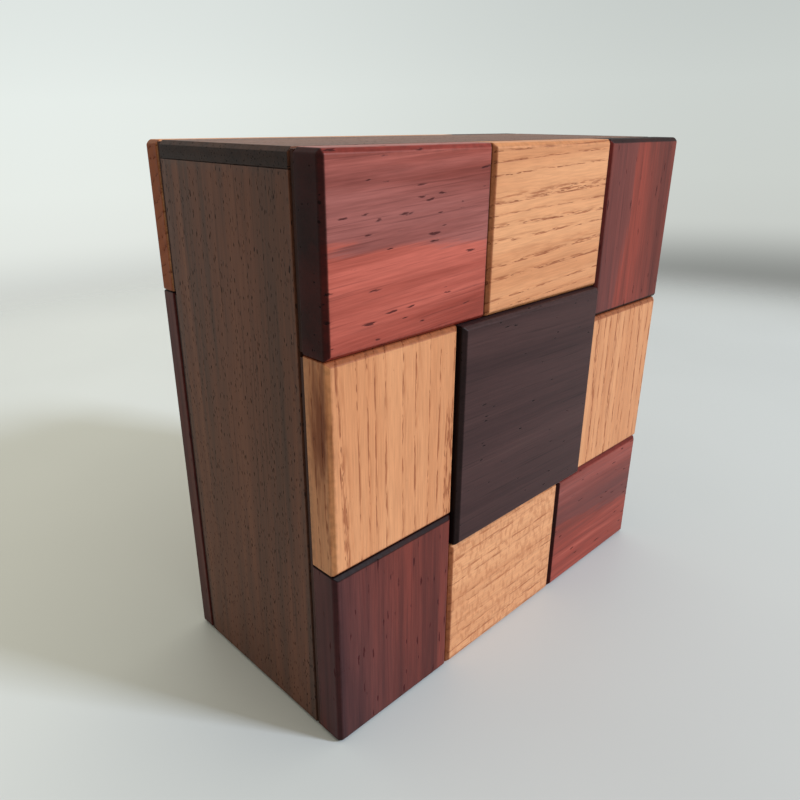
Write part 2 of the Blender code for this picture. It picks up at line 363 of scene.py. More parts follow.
@dataclass(frozen=True)
class Pores:
    """The open pores of a wood: short tubes that come to a long face as dashes and to an end as dots.

    Attributes:
        spacing: mean distance from one to the next across the grain.
        diameter: their width.
        length: how long the dash is.
        stray: how far the grain carries them to the side.
    """

    spacing: float
    diameter: float
    length: float
    stray: float = 0.1 * MM

    STRAY_RATE = 0.8
    STRAY_SWING = 4
    OWN_WIDTH = Step(0.2, 0.8, to_low=0.45)
    TORN = Grain(along=700.0, across=3200.0, detail=1.0)
    TORN_WIDTH = Step(0.3, 0.7, to_low=0.55, to_high=1.35)
    SOFT_FROM = 0.5
    LEAST_RADIUS = 1e-4

    def draw(self, place: Reading, swell: Value = 1.0) -> Reading:
        """The share of a point that lies in a pore.

        Args:
            place: the point, in the grain's frame.
            swell: how wide the pores are here, where 1 is their full width.

        Returns:
            1 inside a pore and 0 outside.
        """
        near = 1 / self.spacing
        slow = Grain(self.STRAY_RATE / self.length, near, detail=0.0)
        centred = slow.read(place).other("Color").vector("SUBTRACT", (MIDDLE, MIDDLE, MIDDLE))
        swing = self.STRAY_SWING * self.stray
        strayed = place.vector("ADD", centred.stretched(0.0, swing, swing))
        where = strayed.stretched(self.diameter / self.length / self.spacing, near, near)
        cells = where.then("ShaderNodeTexVoronoi", {"Vector": where, "Scale": 1.0}, feature="F1")
        own = self.OWN_WIDTH.read(cells.other("Color")) * self.TORN_WIDTH.read(self.TORN.read(place))
        radius = own * swell * (self.diameter / self.spacing / 2)
        inner, outer = radius * self.SOFT_FROM, radius + self.LEAST_RADIUS
        return cells.other("Distance").span(inner, outer, 1.0, 0.0)


@dataclass(frozen=True)
class Cut:
    """How a piece was cut from its plank.

    Attributes:
        along: the way that the grain runs.
        across: the way across the grain on the broad face.
        lean: how far the grain leans on that face, in degrees.
        ring_turn: how far the growth rings are turned about the grain, in degrees.
        plank: which plank it came from, so that no two pieces have the same figure.
        tone: how dark the piece is, where 0 is its wood's usual tone and 1 is much darker.
        fleck: how much ray fleck shows, from 0 to 1.
        flame: middle of a flame of dark heartwood on the piece, if it has one.
        breaks: a point of the piece where its colour breaks from fresh to dull.
    """

    along: Axis
    across: Axis
    lean: float = 1.0
    ring_turn: float = 20.0
    plank: float = 1.0
    tone: float = 0.0
    fleck: float = 0.0
    flame: Optional[tuple[float, float, float]] = None
    breaks: tuple[float, float, float] = (0.0, 0.0, 0.0)

    def turn(self) -> Matrix:
        """The rotation from the box's frame to the grain's, whose X runs along the grain."""
        along, across = self.along.vector(), self.across.vector()
        squared = Matrix((along, across, along.cross(across)))
        leaned = Matrix.Rotation(math.radians(self.lean), 3, "Z") @ squared
        return Matrix.Rotation(math.radians(self.ring_turn), 3, "X") @ leaned

    def shift(self) -> Vector:
        """Where in the plank the piece lies."""
        return Vector(PLANK_STEP) * self.plank

    def break_level(self) -> float:
        """How far across the grain the colour breaks, in the grain's frame."""
        point = self.turn() @ Vector(self.breaks) + self.shift()
        return point.y + ZONE_SKEW * point.x


@dataclass
class Point:
    """What a finish is told of a point.

    Attributes:
        place: where it is, in the grain's frame.
        facing: 1 on end grain and 0 on a long face.
        tone: how dark the piece is.
        fleck: how much ray fleck the piece shows.
        breaks: how far across the grain the piece's colour breaks.
    """

    place: Reading
    facing: Reading
    tone: Reading
    fleck: Reading
    breaks: Reading


@dataclass
class Figure:
    """What a finish shows at a point: its colour, its roughness and its height."""

    colour: Reading
    roughness: Reading
    height: Reading


@dataclass(frozen=True)
class Finish:
    """A finish of the box, drawn once as a group of nodes and used by each piece through its own cut.

    Attributes:
        name: the finish.
        relief: depth of its pores in metres.
        painted_chamfer_shade: what its colour is multiplied by on a chamfer: painted shade that leaves the
            flat faces lighter, as though they alone caught a sheen.
        specular: how strong its own gloss is.
        metallic: 1 for metal and 0 for wood.
    """

    name: str
    relief: float = 0.06 * MM
    painted_chamfer_shade: Colour = (1.0, 1.0, 1.0, 1.0)
    specular: float = 0.16
    metallic: float = 0.0

    RUBBED = Grain(along=900.0, across=900.0)
    WORN = Step(0.35, 0.7)
    WEAR_SHADE = 0.2
    WEAR_POLISH = 0.07
    RIM_REACH = Step(0.3 * MM, 1.9 * MM, to_low=1.0, to_high=0.0)
    FLAME_REPEATS = (300.0, 320.0, 60.0)
    FLAME_TINT = (0.4, 0.27, 0.2, 1.0)
    FLAME_EDGE = Step(0.25, 1.1, to_low=1.0, to_high=0.0)
    LICKS = Grain(along=90.0, across=700.0, detail=3.0, roughness=0.6)
    LICK_REACH = 1.6
    SQUARE_ON = Step(0.74, 0.95, to_low=1.0, to_high=0.0)

    def draw(self, point: Point) -> Figure:
        """The finish at a point; each kind of finish has its own.

        Args:
            point: what is known of the point.

        Returns:
            The finish's colour, roughness and height.
        """
        raise NotImplementedError

    def group(self) -> bpy.types.NodeTree:
        """The finish as a node group, made on first use."""
        found = bpy.data.node_groups.get(self.name)
        if found:
            return found
        tree = bpy.data.node_groups.new(self.name, "ShaderNodeTree")
        tree.interface.new_socket("Place", in_out="INPUT", socket_type="NodeSocketVector")
        for name in ("Facing", "Slant", "Rim", "Tone", "Fleck", "Break"):
            tree.interface.new_socket(name, in_out="INPUT", socket_type="NodeSocketFloat")
        tree.interface.new_socket("Colour", in_out="OUTPUT", socket_type="NodeSocketColor")
        for name in ("Roughness", "Height"):
            tree.interface.new_socket(name, in_out="OUTPUT", socket_type="NodeSocketFloat")
        given = Reading(add(tree, "NodeGroupInput"))
        told = ("Place", "Facing", "Tone", "Fleck", "Break")
        figure = self.draw(Point(*(given.other(name) for name in told)))
        rim = given.other("Rim")
        worn = rim * self.WORN.read(self.RUBBED.read(given.other("Place")))
        kept = 1.0 - worn * self.WEAR_SHADE
        # The chamfers' colour is multiplied darker: painted shade standing in for the sheen on the flat
        # faces, which the chamfers miss.
        shown = {
            "Colour": given.other("Slant").mixed(figure.colour.scaled(kept), self.painted_chamfer_shade, "MULTIPLY"),
            "Roughness": figure.roughness - rim * self.WEAR_POLISH,
            "Height": figure.height,
        }
        add(tree, "NodeGroupOutput", shown)
        return tree

    def rim(self, place: Reading, low: Vector, high: Vector) -> Reading:
        """How near a point of a squared piece is to the piece's nearest edge.

        Args:
            place: the point, in the box's frame.
            low: the piece's lowest corner.
            high: its highest corner.

        Returns:
            1 on an edge, falling to 0 a little way in.
        """
        inside = place.vector("SUBTRACT", (low + high) / 2).vector("ABSOLUTE")
        margin = inside.then("ShaderNodeVectorMath", {0: (high - low) / 2, 1: inside}, operation="SUBTRACT")
        first, second, third = margin.parts()
        lesser, greater = first.math("MINIMUM", second), first.math("MAXIMUM", second)
        middle = lesser.math("MAXIMUM", greater.math("MINIMUM", third))
        return self.RIM_REACH.read(middle)

    def flame(self, place: Reading, grain: Reading, middle: Place) -> Reading:
        """How far a point lies in a flame of dark heartwood.

        Args:
            place: the point, in the box's frame.
            grain: the point, in the grain's frame.
            middle: the flame's middle.

        Returns:
            1 in the flame's heart and 0 outside it.
        """
        reach = place.vector("SUBTRACT", middle).stretched(*self.FLAME_REPEATS).length()
        licks = self.LICKS.read(grain) - MIDDLE
        return self.FLAME_EDGE.read(reach + licks * self.LICK_REACH)

    def slant(self, normal: Reading) -> Reading:
        """How far a surface of a squared piece leans from the piece's faces: 0 on a face, 1 on a chamfer."""
        first, second, third = normal.vector("ABSOLUTE").parts()
        return self.SQUARE_ON.read(first.math("MAXIMUM", second).math("MAXIMUM", third))

    def dress(self, piece: bpy.types.Object, cut: Cut) -> None:
        """Gives a piece this finish.

        Args:
            piece: the piece, whose mesh lies in the box's frame.
            cut: how the piece was cut.
        """
        material = bpy.data.materials.new(f"{self.name}_{piece.name}")
        tree = emptied(material)
        place = Reading(add(tree, "ShaderNodeTexCoord"), "Object")
        normal = place.other("Normal")
        laid = {"Vector": place, "Location": cut.shift(), "Rotation": cut.turn().to_euler()}
        grain = place.then("ShaderNodeMapping", laid, vector_type="POINT")
        corners = [vertex.co for vertex in piece.data.vertices]
        low = Vector(min(corner[axis] for corner in corners) for axis in range(3))
        high = Vector(max(corner[axis] for corner in corners) for axis in range(3))
        given = {
            "Place": grain,
            "Facing": normal.reach(cut.along.vector()).math("ABSOLUTE"),
            "Slant": self.slant(normal),
            "Rim": self.rim(place, low, high),
            "Tone": cut.tone,
            "Fleck": cut.fleck,
            "Break": cut.break_level(),
        }
        figure = grain.then("ShaderNodeGroup", given, node_tree=self.group())
        raised = {"Strength": 1.0, "Distance": self.relief, "Height": figure.other("Height")}
        colour = figure.other("Colour")
        if cut.flame:
            colour = self.flame(place, grain, cut.flame).mixed(colour, self.FLAME_TINT, "MULTIPLY")
        surface = {
            "Base Color": colour,
            "Roughness": figure.other("Roughness"),
            "Specular IOR Level": self.specular,
            "Metallic": self.metallic,
            "Normal": figure.then("ShaderNodeBump", raised),
        }
        shader = colour.then("ShaderNodeBsdfPrincipled", surface)
        add(tree, "ShaderNodeOutputMaterial", {"Surface": shader})
        piece.data.materials.clear()
        piece.data.materials.append(material)


@dataclass(frozen=True)
class Tones:
    """The colours of a wood, from its darkest streak to its lightest."""

    darkest: Colour
    dark: Colour
    light: Colour
    lightest: Colour
    pore: Colour
    end: Colour


@dataclass(frozen=True)
class Wood(Finish):
    """What all woods share: their colours, their pores and how their end grain shows.

    Attributes:
        tones: its colours.
        pores: its pores.
        chamfer_end: how much end grain a chamfer across the grain shows.
    """

    tones: Optional[Tones] = None
    pores: Optional[Pores] = None
    chamfer_end: float = 0.74

    CHAMFER_FACING = (0.05, 0.5)
    END_FACING = (0.7, 1.0)
    FIBRE_RISE = 0.14
    PORE_ROUGHNESS = 0.3
    END_ROUGHNESS = 0.15

    def opened(
        self, facing: Reading, colour: Reading, smooth: Reading, fibres: Reading, pores: Reading
    ) -> Figure:
        """The wood with its end grain and its open pores: a chamfer shows most of the end grain already.

        Args:
            facing: 1 on end grain and 0 on a long face.
            colour: its colour on a long face.
            smooth: its roughness between the pores.
            fibres: how high its fibres stand.
            pores: 1 inside a pore and 0 outside.

        Returns:
            The wood's colour, roughness and height.
        """
        slanted = facing.span(*self.CHAMFER_FACING, 0.0, self.chamfer_end)
        ends = slanted + facing.span(*self.END_FACING, 0.0, 1 - self.chamfer_end)
        return Figure(
            colour=ends.mixed(colour, self.tones.end, "MULTIPLY"),
            roughness=smooth + (pores * self.PORE_ROUGHNESS + ends * self.END_ROUGHNESS),
            height=fibres * self.FIBRE_RISE - pores,
        )


@dataclass(frozen=True)
class StreakedWood(Wood):
    """A wood with soft bands, fine streaks and pores scattered all through it.

    Attributes:
        band: mean width of its broad bands.
        streak: mean width of its streaks.
        contrast: how far the bands part from the middle tone.
        hair: how much its fine dark lines show.
        gloss: its mean roughness.
        zone: mean width of its colour zones, which start dull at a crisp edge, or 0 for none.
        dull: what its colour is multiplied by where a zone is dullest.
    """

    band: float = 6 * MM
    streak: float = 1.4 * MM
    contrast: float = 1.0
    hair: float = 0.6
    gloss: float = 0.42
    zone: float = 0.0
    dull: Colour = (1.0, 1.0, 1.0, 1.0)

    SWAY = Grain(along=26.0, across=420.0, detail=4.0, roughness=0.7)
    SWAY_REACH = 0.2
    ZONE_START = Step(0.0, 0.04)
    ZONE_FADE = Step(0.12, 0.62, to_low=1.0, to_high=0.0)
    BAND_REPEATS = 7.0
    BAND_DEPTH = 0.7
    BAND_SHARE = 0.7
    STREAK_REPEATS = 16.0
    STREAK_DEPTH = 0.8
    SPREAD = 3.2
    STOPS = (0.0, 0.33, 0.66, 1.0)
    FIBRES = Grain(along=130.0, across=2600.0, roughness=0.6)
    FIBRE_SPAN = (0.2, 0.8)
    FIBRE_SHADE = Step(*FIBRE_SPAN, to_low=0.86, to_high=1.12)
    HAIRS = Grain(along=45.0, across=2300.0, detail=1.0)
    HAIR_EDGE = Step(0.6, 0.72)
    HAIR_SHADE = 0.5
    PORE_SHADE = 0.84
    GLOSSIEST = -0.05
    DULLEST = 0.06

    def dullness(self, point: Point) -> Reading:
        """How dull the wood is at a point of a colour zone, from 0 to 1.

        Args:
            point: what is known of the point.

        Returns:
            1 just past the zone's crisp edge, falling slowly to 0.
        """
        along, across, _ = point.place.parts()
        zones = (across + along * ZONE_SKEW - point.breaks) / self.zone
        sway = self.SWAY.read(point.place) - MIDDLE
        season = (zones + sway * self.SWAY_REACH).math("FRACT")
        return self.ZONE_START.read(season) * self.ZONE_FADE.read(season)

    def draw(self, point: Point) -> Figure:
        """The wood at a point, from its bands, streaks, fibres and pores.

        Args:
            point: what is known of the point.

        Returns:
            The wood's colour, roughness and height.
        """
        place, tones = point.place, self.tones
        banded = Grain(
            self.BAND_REPEATS, 1 / self.band, self.BAND_DEPTH / self.band,
            detail=3.0, roughness=0.55, warp=0.3,
        )
        streaked = Grain(
            self.STREAK_REPEATS, 1 / self.streak, self.STREAK_DEPTH / self.streak,
            detail=3.0, roughness=0.65,
        )
        fibres, hairs = self.FIBRES.read(place), self.HAIRS.read(place)
        figure = banded.read(place) * self.BAND_SHARE + streaked.read(place) * (1 - self.BAND_SHARE)
        spread = (figure - MIDDLE) * (self.SPREAD * self.contrast)
        level = spread + MIDDLE + point.tone * TONE_STEP
        row = (tones.darkest, tones.dark, tones.light, tones.lightest)
        colour = level.ramp(tuple(zip(self.STOPS, row)))
        if self.zone:
            colour = self.dullness(point).mixed(colour, self.dull, "MULTIPLY")
        colour = colour.scaled(self.FIBRE_SHADE.read(fibres))
        hair = self.HAIR_EDGE.read(hairs) * self.hair
        colour = (hair * self.HAIR_SHADE).mixed(colour, tones.pore)
        pores = self.pores.draw(place)
        colour = (pores * self.PORE_SHADE).mixed(colour, tones.pore)
        smooth = fibres.span(*self.FIBRE_SPAN, self.gloss + self.GLOSSIEST, self.gloss + self.DULLEST)
        return self.opened(point.facing, colour, smooth, fibres, pores)


@dataclass(frozen=True)
class RingedOak(Wood):
    """Ring-porous oak: each year starts with a row of wide open pores.

    Attributes:
        year: mean width of a year.
    """

    year: float = 2.7 * MM

    SWAY = Grain(along=9.0, across=60.0, detail=1.0)
    SWAY_YEARS = 1.5
    UNEVEN = Grain(along=3.0, across=230.0, through=120.0, detail=1.0)
    UNEVEN_YEARS = 2.2
    BROAD = Grain(along=9.0, across=150.0, detail=3.0)
    BROAD_TONE = Step(0.3, 0.7, to_low=0.1, to_high=0.9)
    OPENING = Step(0.0, 0.05)
    EARLY_WOOD = Step(0.1, 0.26, to_low=1.0, to_high=0.0)
    WARM_WOOD = Step(0.08, 0.6, to_low=1.0, to_high=0.0)
    BROKEN = Grain(along=210.0, across=1900.0, roughness=0.6)
    WARM_SHADE = Step(0.36, 0.75, to_low=0.02, to_high=0.68)
    FIBRES = Grain(along=150.0, across=2600.0, roughness=0.6)
    FIBRE_SHADE = Step(0.2, 0.8, to_low=0.88, to_high=1.09)
    LATE_PORES = 0.15
    LINES = Step(0.46, 0.6)
    LINE_SHADE = 0.68
    PORE_SHADE = 0.72
    PORES_UNDER_RAYS = 0.25
    RAYS = Grain(along=1000.0, across=250.0, through=620.0, roughness=0.6)
    RAY_EDGE = Step(0.46, 0.66)
    RAY_SHADE = 0.45
    GLOSS = Step(0.2, 0.8, to_low=0.42, to_high=0.52)
    PORE_ROUGHNESS = 0.25
    END_ROUGHNESS = 0.12

    def draw(self, point: Point) -> Figure:
        """The oak at a point, from its years, pores, fibres and rays.

        Args:
            point: what is known of the point.

        Returns:
            The oak's colour, roughness and height.
        """
        place, tones = point.place, self.tones
        sway = self.SWAY.read(place) * self.SWAY_YEARS
        uneven = self.UNEVEN.read(place) * self.UNEVEN_YEARS
        season = (place.parts()[1] / self.year + sway + uneven).math("FRACT")
        opening = self.OPENING.read(season)
        early, warm = opening * self.EARLY_WOOD.read(season), opening * self.WARM_WOOD.read(season)
        broken, fibres = self.BROKEN.read(place), self.FIBRES.read(place)
        level = self.BROAD_TONE.read(self.BROAD.read(place)) + point.tone * TONE_STEP
        colour = level.mixed(tones.light, tones.lightest)
        colour = (warm * self.WARM_SHADE.read(broken)).mixed(colour, tones.dark)
        colour = colour.scaled(self.FIBRE_SHADE.read(fibres))
        pores = self.pores.draw(place, early * (1 - self.LATE_PORES) + self.LATE_PORES)
        lines = early * self.LINES.read(broken)
        open_grain = pores.math("MAXIMUM", lines * self.LINE_SHADE)
        shown = self.PORE_SHADE - point.fleck * self.PORES_UNDER_RAYS
        colour = (open_grain * shown).mixed(colour, tones.pore)
        ray = self.RAY_EDGE.read(self.RAYS.read(place)) * point.fleck
        colour = (ray * self.RAY_SHADE).mixed(colour, tones.dark)
        return self.opened(point.facing, colour, self.GLOSS.read(fibres), fibres, open_grain)


@dataclass(frozen=True)
class PlatedMetal(Finish):
    """Bright plated metal with fine scratches and a few duller patches."""

    BRIGHT, WORN_DOWN = srgb(206, 206, 204), srgb(178, 178, 180)
    SCRATCHES = Grain(along=300.0, across=9000.0, roughness=0.6)
    SCRATCH_ROUGHNESS = 0.08
    PATCHES = Grain(along=600.0, across=600.0, detail=3.0, roughness=0.6)
    PATCH_EDGE = Step(0.35, 0.7)
    PATCH_GLOSS = Step(0.3, 0.7, to_low=0.2, to_high=0.34)

    def draw(self, point: Point) -> Figure:
        """The metal at a point, from its scratches and patches.

        Args:
            point: what is known of the point.

        Returns:
            The metal's colour, roughness and height.
        """
        scratches, patches = self.SCRATCHES.read(point.place), self.PATCHES.read(point.place)
        colour = self.PATCH_EDGE.read(patches).mixed(self.BRIGHT, self.WORN_DOWN)
        roughness = self.PATCH_GLOSS.read(patches) + scratches * self.SCRATCH_ROUGHNESS
        return Figure(colour, roughness, scratches)


PADAUK = StreakedWood(
    "padauk",
    tones=Tones(
        srgb(72, 34, 33), srgb(109, 53, 47), srgb(142, 64, 54), srgb(182, 95, 83), srgb(62, 21, 24),
        (0.09, 0.05, 0.055, 1.0),
    ),
    # Chamfers darker and redder than the faces: painted shade for the sheen that only the flat faces catch.
    painted_chamfer_shade=(0.72, 0.42, 0.4, 1.0),
    chamfer_end=0.92,
    specular=0.11,
    pores=Pores(spacing=1.36 * MM, diameter=0.6 * MM, length=3.4 * MM),
    band=9 * MM,
    streak=1.6 * MM,
    contrast=0.6,
    gloss=0.4,
    zone=42 * MM,
    dull=(0.68, 0.95, 1.15, 1.0),
)
OAK = RingedOak(
    "oak",
    tones=Tones(
        srgb(143, 82, 53), srgb(166, 100, 64), srgb(197, 134, 94), srgb(217, 158, 116), srgb(122, 58, 35),
        (0.45, 0.26, 0.2, 1.0),
    ),
    # Chamfers a little darker than the faces: painted shade for the sheen on the flat faces.
    painted_chamfer_shade=(0.91, 0.85, 0.74, 1.0),
    pores=Pores(spacing=0.36 * MM, diameter=0.32 * MM, length=2.4 * MM, stray=0.05 * MM),
    relief=0.07 * MM,
)
WENGE = StreakedWood(
    "wenge",
    tones=Tones(
        srgb(42, 25, 26), srgb(56, 37, 38), srgb(69, 47, 47), srgb(90, 66, 62), srgb(18, 11, 11),
        (0.14, 0.12, 0.13, 1.0),
    ),
    pores=Pores(spacing=1.35 * MM, diameter=0.34 * MM, length=1.7 * MM),
    band=5.0 * MM,
    streak=0.45 * MM,
    contrast=0.42,
    gloss=0.42,
    specular=0.12,
)
WALNUT = StreakedWood(
    "walnut",
    tones=Tones(
        srgb(76, 54, 46), srgb(91, 62, 50), srgb(109, 70, 54), srgb(124, 82, 63), srgb(26, 15, 13),
        (0.17, 0.2, 0.25, 1.0),
    ),
    pores=Pores(spacing=0.4 * MM, diameter=0.28 * MM, length=1.25 * MM),
    band=4.5 * MM,
    streak=1.8 * MM,
    contrast=0.8,
    gloss=0.46,
)
# The plates' dark colour is partly their own dark wood and partly painted shade: it also carries the shadow
# in the gap between each board and its tiles.
DARK_PLATE = StreakedWood(
    "dark_plate",
    tones=Tones(
        srgb(50, 29, 23), srgb(60, 36, 29), srgb(70, 43, 35), srgb(82, 52, 43), srgb(24, 14, 12),
        (0.7, 0.6, 0.58, 1.0),
    ),
    pores=Pores(spacing=0.9 * MM, diameter=0.16 * MM, length=1.2 * MM),
    gloss=0.55,
)
MAPLE = StreakedWood(
    "maple",
    tones=Tones(
        srgb(196, 164, 124), srgb(208, 178, 140), srgb(218, 190, 152), srgb(228, 204, 168),
        srgb(168, 132, 96), (0.72, 0.66, 0.6, 1.0),
    ),
    pores=Pores(spacing=0.7 * MM, diameter=0.1 * MM, length=0.9 * MM),
    gloss=0.5,
    hair=0.3,
    relief=0.03 * MM,
)
BEECH = StreakedWood(
    "beech",
    tones=Tones(
        srgb(176, 130, 94), srgb(190, 146, 110), srgb(202, 158, 122), srgb(212, 172, 136),
        srgb(140, 92, 62), (0.7, 0.64, 0.58, 1.0),
    ),
    pores=Pores(spacing=0.5 * MM, diameter=0.12 * MM, length=1.0 * MM),
    band=4 * MM,
    gloss=0.48,
    hair=0.3,
    relief=0.03 * MM,
)
CEDAR = StreakedWood(
    "cedar",
    tones=Tones(
        srgb(140, 84, 58), srgb(158, 100, 70), srgb(176, 118, 86), srgb(192, 138, 102),
        srgb(112, 62, 42), (0.62, 0.54, 0.5, 1.0),
    ),
    pores=Pores(spacing=0.9 * MM, diameter=0.12 * MM, length=1.2 * MM),
    band=3.4 * MM,
    gloss=0.56,
    hair=0.5,
    relief=0.04 * MM,
)
MAGNET = PlatedMetal("magnet", relief=0.004 * MM, specular=0.5, metallic=1.0)


# ---------------------------------------------------------------- shaping


@dataclass
class Shape:
    """A piece between two corners. Its edges are rubbed from SHARP_FROM degrees on.

    Attributes:
        name: the piece's name.
        low: lowest corner of the room it fills.
        high: highest corner of that room.
    """

    name: str
    low: Vector
    high: Vector

    SHARP_FROM = 20

    def settle(self) -> bpy.types.Object:
        """Names the mesh just added and brings its place into it."""
        piece = bpy.context.active_object
        piece.name = self.name
        piece.data.name = self.name
        bpy.ops.object.transform_apply(location=True, rotation=True, scale=True)
        return piece

    def build(self) -> bpy.types.Object:
        """Makes the piece; each kind of shape has its own way."""
        raise NotImplementedError

    def rub(self, piece: bpy.types.Object, width: float) -> None:
        """Rounds a piece's sharp edges, as a rub with fine paper does.

        Args:
            piece: the piece.
            width: width of the rounding.
        """
        easing = piece.modifiers.new("easing", "BEVEL")
        easing.width = width
        easing.segments = EASING_SEGMENTS
        easing.limit_method = "ANGLE"
        easing.angle_limit = math.radians(self.SHARP_FROM)
        easing.harden_normals = True
        bpy.ops.object.shade_smooth()
        bpy.ops.object.modifier_apply(modifier=easing.name)


@dataclass
class Block(Shape):
    """A squared stick of wood.

    Attributes:
        chamfered: pairs of face directions whose shared edge is chamfered.
        chamfer: width of the chamfer.
        easing: radius of the last rub with fine paper.
    """

    chamfered: list[tuple[Vector, Vector]] = field(default_factory=list)
    chamfer: float = 0.8 * MM
    easing: float = 0.26 * MM

    def on_face(self, edge: bmesh.types.BMEdge, face: Vector) -> bool:
        """Whether an edge lies in the face that looks a given way."""
        axis = max(range(3), key=lambda index: abs(face[index]))
        level = self.high[axis] if face[axis] > 0 else self.low[axis]
        return all(abs(vertex.co[axis] - level) < TOUCHING for vertex in edge.verts)

    def build(self) -> bpy.types.Object:
        """Saws the block, planes its chamfers and rubs its edges.

        Returns:
            The piece, at the origin with its place in its mesh.
        """
        bpy.ops.object.select_all(action="DESELECT")
        bpy.ops.mesh.primitive_cube_add(
            size=1, location=(self.low + self.high) / 2, scale=self.high - self.low
        )
        block = self.settle()
        if self.chamfered:
            self.plane_chamfers(block)
        self.rub(block, self.easing)
        return block

    def plane_chamfers(self, block: bpy.types.Object) -> None:
        """Planes the chosen edges of a block.

        Args:
            block: the block, still square.
        """
        bpy.ops.object.mode_set(mode="EDIT")
        bpy.ops.mesh.select_mode(type="EDGE")
        bpy.ops.mesh.select_all(action="DESELECT")
        mesh = bmesh.from_edit_mesh(block.data)
        for edge in mesh.edges:
            edge.select = any(
                self.on_face(edge, first) and self.on_face(edge, second)
                for first, second in self.chamfered
            )
        mesh.select_flush_mode()
        bmesh.update_edit_mesh(block.data)
        bpy.ops.mesh.bevel(offset_type="OFFSET", offset=self.chamfer, segments=1, affect="EDGES")
        bpy.ops.object.mode_set(mode="OBJECT")


@dataclass
class Disc(Shape):
    """A turned disc or peg.

    Attributes:
        axis: the way its axis runs.
        easing: radius of its rims.
    """

    axis: Axis
    easing: float = 0.2 * MM

    SIDES = 64
    SHARP_FROM = 40

    def build(self) -> bpy.types.Object:
        """Turns the disc and eases its rims.

        Returns:
            The piece, at the origin with its place in its mesh.
        """
        size = self.high - self.low
        length = size.dot(self.axis.vector())
        width = (sum(size) - length) / 2
        turn = self.axis.vector().to_track_quat("Z", "Y").to_euler()
        bpy.ops.object.select_all(action="DESELECT")
        bpy.ops.mesh.primitive_cylinder_add(
            vertices=self.SIDES, radius=width / 2, depth=length,
            location=(self.low + self.high) / 2, rotation=turn,
        )
        disc = self.settle()
        self.rub(disc, self.easing)
        return disc


def finished(piece: Shape, node: str, body: str, wood: Finish, cut: Cut) -> None:
    """Builds and dresses a piece and puts it in place of its plain part.

    Args:
        piece: the piece to build.
        node: the part it stands for.
        body: the body it moves with.
        wood: its finish.
        cut: how it was cut.
    """
    built = piece.build()
    wood.dress(built, cut)
    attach(built, body)
    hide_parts(node)
    log.info("%s stands for %s on %s, in %s", built.name, node, body, wood.name)


def dressed(node: str, wood: Finish, cut: Cut) -> None:
    """Gives a part whose shape is right its wood.

    Args:
        node: the part.
        wood: its finish.
        cut: how it was cut.
    """
    wood.dress(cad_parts[node], cut)
    log.info("%s keeps its shape, in %s", node, wood.name)


def rim_edges(facing: tuple[float, float, float]) -> list[tuple[Vector, Vector]]:
    """The four edges round the face that looks a given way."""
    looks = Vector(facing)
    others = [axis.vector() for axis in Axis if not axis.vector().dot(looks)]
    return [(looks, sign * other) for other in others for sign in (1, -1)]


# ---------------------------------------------------------------- sub-assemblies


